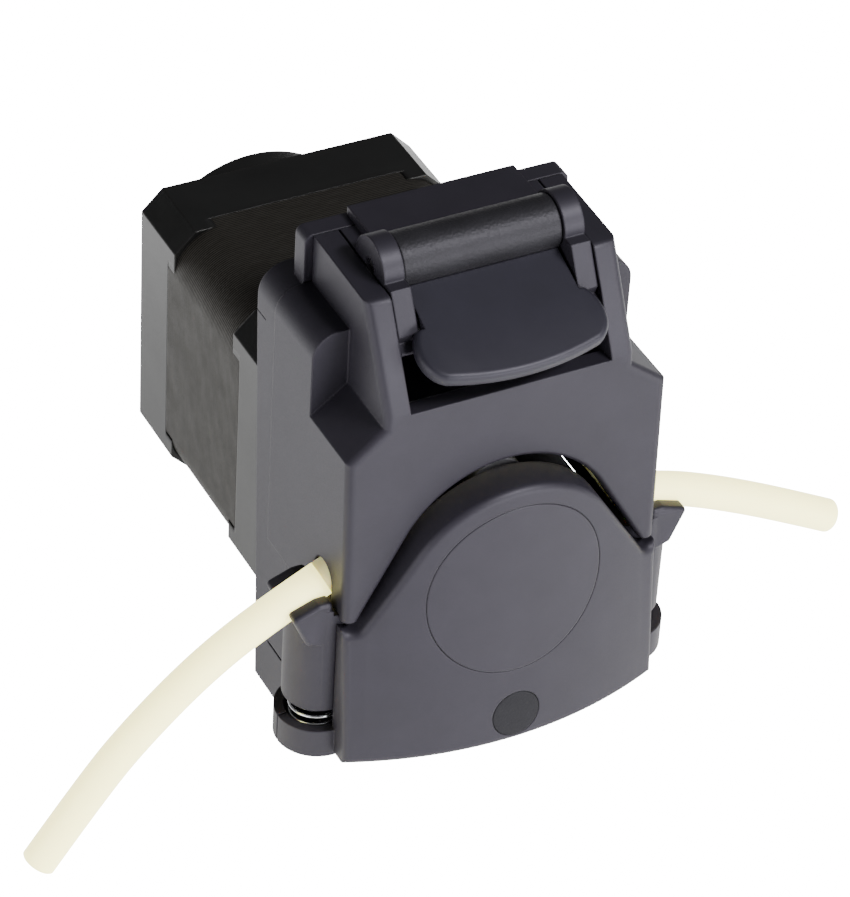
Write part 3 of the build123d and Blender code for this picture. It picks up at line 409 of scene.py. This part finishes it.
class Skins:
    """Smooth-shaded copies of CAD nodes, which stand in their place."""

    smooth_angle = math.radians(28)
    weld = 0.002 * MM
    blended = ("left_lift_spring", "right_lift_spring")

    def skin(self, node: str, finish: bpy.types.Material) -> bpy.types.Object:
        """Copies a node, welds its loose triangles and shades its round stretches smooth.

        Args:
            node: The CAD node's name.
            finish: The material that it is given.

        Returns:
            The copy, which replaces the node and rides on its body, unless it is a lift spring, which is
            left without a body.
        """
        source = frame["nodes"][node]
        mesh = source.data.copy()
        welder = bmesh.new()
        welder.from_mesh(mesh)
        bmesh.ops.remove_doubles(welder, verts=welder.verts, dist=self.weld)
        bmesh.ops.dissolve_degenerate(welder, dist=self.weld / 10, edges=welder.edges)
        for face in welder.faces:
            face.smooth = True
        for edge in welder.edges:
            turn = edge.calc_face_angle(math.pi) if len(edge.link_faces) == 2 else math.pi
            edge.smooth = turn < self.smooth_angle
        welder.to_mesh(mesh)
        welder.free()
        mesh.materials.clear()
        mesh.materials.append(finish)
        piece = bpy.data.objects.new(f"{node}_skin", mesh)
        bpy.context.scene.collection.objects.link(piece)
        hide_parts(node)
        if node not in self.blended:
            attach(piece, source["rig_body"])
        LOG.info("%s: %d faces", piece.name, len(mesh.polygons))
        return piece


def new_mesh(name: str, points: np.ndarray, faces: list[tuple[int, ...]]) -> bpy.types.Object:
    """Makes a smooth object of points and faces.

    Args:
        name: The object's name.
        points: The points, one row each, in metres.
        faces: The faces, as rows of point numbers.

    Returns:
        The new object.
    """
    mesh = bpy.data.meshes.new(name)
    mesh.from_pydata(points.tolist(), [], faces)
    mesh.polygons.foreach_set("use_smooth", [True] * len(mesh.polygons))
    mesh.update()
    piece = bpy.data.objects.new(name, mesh)
    bpy.context.scene.collection.objects.link(piece)
    return piece


@dataclass
class TubeRun:
    """One free end of the tube: a hollow tube along a smooth route."""

    name: str
    node: str
    route: tuple[Triple, ...]
    outer_radius: float = 3.25 * MM
    bore_radius: float = 1.6 * MM
    around: int = 40
    lip: float = 0.25 * MM
    spline_order: int = 3
    spline_steps: int = 16

    def line(self) -> np.ndarray:
        """The route's NURBS spline as points.

        Returns:
            The points along the spline, one row each.
        """
        curve = bpy.data.curves.new(f"{self.name}_route", "CURVE")
        curve.dimensions = "3D"
        spline = curve.splines.new("NURBS")
        spline.points.add(len(self.route) - 1)
        scale = (MM, MM, MM, 1)
        spline.points.foreach_set("co", [v * s for p in self.route for v, s in zip((*p, 1.0), scale)])
        spline.order_u = self.spline_order
        spline.use_endpoint_u = True
        spline.resolution_u = self.spline_steps
        guide = bpy.data.objects.new(f"{self.name}_guide", curve)
        mesh = bpy.data.meshes.new_from_object(guide)
        points = np.empty(3 * len(mesh.vertices))
        mesh.vertices.foreach_get("co", points)
        bpy.data.objects.remove(guide)
        bpy.data.meshes.remove(mesh)
        return points.reshape(-1, 3)

    def build(self, finish: bpy.types.Material) -> bpy.types.Object:
        """Carries a ring profile along the route and closes both cut ends.

        The outer wall, a rounded lip, the cut face and the bore are rings about each point
        of the line, in the plane across the line's direction.

        Args:
            finish: The tube's material.

        Returns:
            The tube's end.
        """
        line = self.line()
        along = np.gradient(line, axis=0)
        along /= np.linalg.norm(along, axis=1, keepdims=True)
        across = np.array([0.0, 1.0, 0.0])
        up = np.cross(along, across)
        turn = np.linspace(0, 2 * math.pi, self.around, endpoint=False)
        last = len(line) - 1
        stations = [(i, self.outer_radius, 0.0) for i in range(last)]
        stations += [(last, self.outer_radius, -self.lip), (last, self.outer_radius - self.lip, 0.0),
                     (last, self.bore_radius + self.lip / 2, 0.0), (last, self.bore_radius, -self.lip / 2)]
        stations += [(i, self.bore_radius, 0.0) for i in range(last - 1, -1, -1)]
        rings = [line[i] + along[i] * shift
                 + radius * (np.cos(turn)[:, None] * across + np.sin(turn)[:, None] * up[i])
                 for i, radius, shift in stations]
        points = np.concatenate(rings)
        count, n = len(stations), self.around
        faces = [(a * n + k, a * n + (k + 1) % n, ((a + 1) % count) * n + (k + 1) % n,
                  ((a + 1) % count) * n + k) for a in range(count) for k in range(n)]
        piece = new_mesh(self.name, points, faces)
        fix_normals(piece)
        piece.data.materials.append(finish)
        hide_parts(self.node)
        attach(piece, Body.HOUSING.value)
        return piece


def fix_normals(piece: bpy.types.Object) -> None:
    """Turns a closed mesh's faces outwards."""
    fixer = bmesh.new()
    fixer.from_mesh(piece.data)
    bmesh.ops.recalc_face_normals(fixer, faces=fixer.faces)
    fixer.to_mesh(piece.data)
    fixer.free()


# ---- the object ----------------------------------------------------------------------


@dataclass(frozen=True)
class Finishes:
    """Every finish of the part, by use."""

    shell: MouldedPlastic = MouldedPlastic("charcoal_moulded", (0.0120, 0.0108, 0.0155))
    badge: MouldedPlastic = MouldedPlastic("charcoal_badge", (0.0125, 0.0112, 0.0160), roughness=0.43)
    coarse: MouldedPlastic = MouldedPlastic("coarse_black", (0.010, 0.010, 0.0115), roughness=0.55,
                                            grain=0.45 * MM, grain_depth=0.08 * MM, grain_strength=0.8,
                                            tone=0.2, specular=0.12)
    barrel: MouldedPlastic = MouldedPlastic("coarse_barrel", (0.0100, 0.0098, 0.0115), roughness=0.48,
                                            grain=0.5 * MM, grain_depth=0.1 * MM, grain_strength=0.9,
                                            tone=0.25, specular=0.22)
    paddle: MouldedPlastic = MouldedPlastic("thumb_plate", (0.010, 0.0095, 0.0145), roughness=0.46)
    track: MouldedPlastic = MouldedPlastic("smooth_black", (0.012, 0.012, 0.013), roughness=0.3)
    acetal: MouldedPlastic = MouldedPlastic("rotor_acetal", (0.03, 0.03, 0.032), roughness=0.4)
    socket: MouldedPlastic = MouldedPlastic("socket_white", (0.75, 0.73, 0.68), roughness=0.4, tone=0.04)
    board: MouldedPlastic = MouldedPlastic("board_green", (0.02, 0.09, 0.04), roughness=0.35)
    film: MouldedPlastic = MouldedPlastic("code_film", (0.2, 0.21, 0.22), roughness=0.2)
    motor: SatinPaint = SatinPaint("motor_black")
    stack: LaminatedSteel = LaminatedSteel("laminations")
    steel: BareMetal = BareMetal("bright_steel", (0.62, 0.62, 0.63))
    black_steel: BareMetal = BareMetal("black_steel", (0.05, 0.05, 0.052), roughness=0.42)
    race: BareMetal = BareMetal("bearing_steel", (0.72, 0.72, 0.73), roughness=0.16)
    wire: BareMetal = BareMetal("spring_wire", (0.7, 0.71, 0.73), roughness=0.18)
    magnet: BareMetal = BareMetal("ground_magnet", (0.2, 0.2, 0.21), roughness=0.45)
    alloy: BareMetal = BareMetal("anodised_alloy", (0.09, 0.09, 0.095), roughness=0.45)
    bronze: BareMetal = BareMetal("bush_bronze", (0.55, 0.38, 0.2), roughness=0.42)
    brass: BareMetal = BareMetal("insert_brass", (0.72, 0.55, 0.26), roughness=0.3)
    copper: BareMetal = BareMetal("winding_copper", (0.6, 0.24, 0.1), roughness=0.3)
    tube: SoftTube = SoftTube("cream_tube")
    # The free tube ends glow: their emission is painted light that brightens them.
    painted_glow_tube: SoftTube = SoftTube("cream_tube_painted_glow", glow=2.4)


@dataclass
class PumpHead:
    """The whole part: which finish each piece takes."""

    finishes: Finishes
    skins: Skins

    def table(self) -> dict[str, tuple[str, ...]]:
        """The nodes that take each finish."""
        return {
            "shell": ("base_housing", "upper_cover", "front_housing", "left_tube_clamp",
                      "right_tube_clamp", "lever_yoke"),
            "badge": ("badge_disc",), "coarse": ("screw_plug",), "barrel": ("cam_barrel",),
            "paddle": ("thumb_paddle",), "track": ("occlusion_track",),
            "acetal": ("rotor_hub", "roller_1", "roller_2", "roller_3"),
            "socket": ("motor_connector",), "board": ("encoder_board",), "film": ("encoder_disc",),
            "motor": ("motor_front_cap", "motor_rear_cap", "encoder_cover"), "stack": ("stator_stack",),
            "steel": ("drive_shaft", "roller_pins", "front_screw", "dowel_pins", "yoke_screws", "hinge_pin",
                      "lift_pin"),
            "black_steel": ("motor_tie_screws", "flange_screws"),
            "race": ("front_shaft_bearing", "rear_shaft_bearing"),
            "wire": ("left_clamp_spring", "right_clamp_spring", "left_lift_spring", "right_lift_spring"),
            "magnet": ("motor_magnet_rotor",), "alloy": ("rotor_rear_plate", "rotor_front_plate"),
            "bronze": ("front_bush",), "brass": ("mounting_inserts",), "copper": ("motor_windings",),
            "tube": ("pump_tube",),
        }

    def build(self) -> None:
        """Dresses every node, prepares the springs' meshes and lays the tube's free ends."""
        pieces = {}
        for use, nodes in self.table().items():
            material = getattr(self.finishes, use).make()
            for node in nodes:
                pieces[node] = self.skins.skin(node, material)
        for side in ("left", "right"):
            node = f"{side}_clamp_spring"
            self.shorten(pieces[node])
            node = f"{side}_lift_spring"
            self.stretch(pieces[node], node)
        # The free tube ends take the finish with the painted glow.
        tube = self.finishes.painted_glow_tube.make()
        for run in self.tubes():
            run.build(tube)

    def shorten(self, spring: bpy.types.Object) -> None:
        """Gives a clamp spring's skin its own copy of its mesh.

        Args:
            spring: The spring's skin.
        """
        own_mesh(spring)

    def stretch(self, spring: bpy.types.Object, node: str) -> None:
        """Bakes a lift spring's placement into its mesh.

        Args:
            spring: The spring's skin.
            node: The spring's CAD node; not used.
        """
        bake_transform(spring)

    def tubes(self) -> tuple[TubeRun, TubeRun]:
        """The two free ends of the tube, with the routes of the part's source."""
        depth = -31.1
        left = ((-31.6, 2.8), (-43.4, -2.9), (-55.2, -10.6), (-67.0, -21.4), (-75.0, -30.6), (-86.0, -45.8))
        right = ((31.6, 2.8), (38.5, 0.9), (46.5, -2.4), (55.5, -6.8), (65.0, -11.9), (75.4, -17.8))
        return (TubeRun("left_tube", "tube_left_end", tuple((x, depth, z) for x, z in left)),
                TubeRun("right_tube", "tube_right_end", tuple((x, depth, z) for x, z in right)))


# ---- the studio ----------------------------------------------------------------------


@dataclass(frozen=True)
class Lamp:
    """A soft light: where it hangs and its size in metres, and its power in watts."""

    name: str
    place: Triple
    size: tuple[float, float]
    power: float

    def hang(self, target: Triple) -> None:
        """Hangs the light.

        Args:
            target: The point that it faces.
        """
        data = bpy.data.lights.new(self.name, "AREA")
        data.shape, data.energy = "RECTANGLE", self.power
        data.size, data.size_y = self.size
        lamp = bpy.data.objects.new(self.name, data)
        lamp.location = self.place
        lamp.rotation_euler = (Vector(target) - Vector(self.place)).to_track_quat("-Z", "Y").to_euler()
        bpy.context.scene.collection.objects.link(lamp)


@dataclass(frozen=True)
class Studio:
    """The camera, the pale floor and the soft lights."""

    eye: Triple = (-0.2860, -0.5243, 0.4763)
    azimuth: float = -29.02
    elevation: float = 38.6
    roll: float = -3.69
    lens: float = 165.7
    sensor: float = 36.0
    floor_size: float = 6.0
    floor_drop: float = 2 * MM
    floor_glow: float = 1.4
    floor_seen: float = 18.0
    floor_tone: float = 0.9
    room_glow: float = 0.20
    target: Triple = (0.0, 0.0, 0.01)
    lamps: tuple[Lamp, ...] = (
        Lamp("left_softbox", (-1.1, -0.35, 0.15), (0.9, 0.6), 9.0),
        Lamp("front_softbox", (0.45, -1.25, 0.10), (1.2, 0.5), 25.5),
        Lamp("rim_strip", (0.45, -0.75, 0.95), (0.45, 0.16), 24.0),
    )

    def camera(self) -> None:
        """Places the camera by its azimuth, elevation and roll."""
        azimuth, elevation, roll = (math.radians(v) for v in (self.azimuth, self.elevation, self.roll))
        back = Vector((math.sin(azimuth) * math.cos(elevation), -math.cos(azimuth) * math.cos(elevation),
                       math.sin(elevation)))
        right = (-back).cross(Vector((0, 0, 1))).normalized()
        down = (-back).cross(right)
        across = math.cos(roll) * right + math.sin(roll) * down
        below = -math.sin(roll) * right + math.cos(roll) * down
        data = bpy.data.cameras.new("studio_camera")
        data.lens, data.sensor_width = self.lens, self.sensor
        data.clip_end = 50.0
        camera = bpy.data.objects.new("studio_camera", data)
        turn = Matrix((across, -below, back)).transposed().to_4x4()
        camera.matrix_world = Matrix.Translation(self.eye) @ turn
        bpy.context.scene.collection.objects.link(camera)
        bpy.context.scene.camera = camera

    def floor(self) -> None:
        """Lays the pale floor, which gives back light from below."""
        low = min(CAD_BOX[0][2], CAD_BOX[1][2]) - self.floor_drop
        half = self.floor_size / 2
        points = np.array([(-half, -half, low), (half, -half, low), (half, half, low), (-half, half, low)])
        piece = new_mesh("studio_floor", points, [(0, 1, 2, 3)])
        nodes = Nodes("pale_floor")
        shader = nodes.add("ShaderNodeBsdfPrincipled", Roughness=0.9)
        shader.inputs["Base Color"].default_value = (*(self.floor_tone,) * 3, 1.0)
        shader.inputs["Emission Color"].default_value = (1.0, 1.0, 1.0, 1.0)
        seen = nodes.add("ShaderNodeLightPath").outputs["Is Camera Ray"]
        nodes.link(nodes.spread(seen, self.floor_glow, self.floor_seen), shader.inputs["Emission Strength"])
        piece.data.materials.append(nodes.finish(shader))

    def build(self) -> None:
        """Sets up the camera, the floor, the lights and the dim surroundings."""
        self.camera()
        self.floor()
        for lamp in self.lamps:
            lamp.hang(self.target)
        world = bpy.data.worlds.new("dim_room")
        world.use_nodes = True
        background = world.node_tree.nodes["Background"]
        background.inputs["Color"].default_value = (1.0, 1.0, 1.0, 1.0)
        background.inputs["Strength"].default_value = self.room_glow
        bpy.context.scene.world = world


def main() -> None:
    """Builds the studio and the part."""
    logging.basicConfig(level=logging.INFO, format="%(message)s")
    Studio().build()
    PumpHead(Finishes(), Skins()).build()


if __name__ == "__main__":
    main()
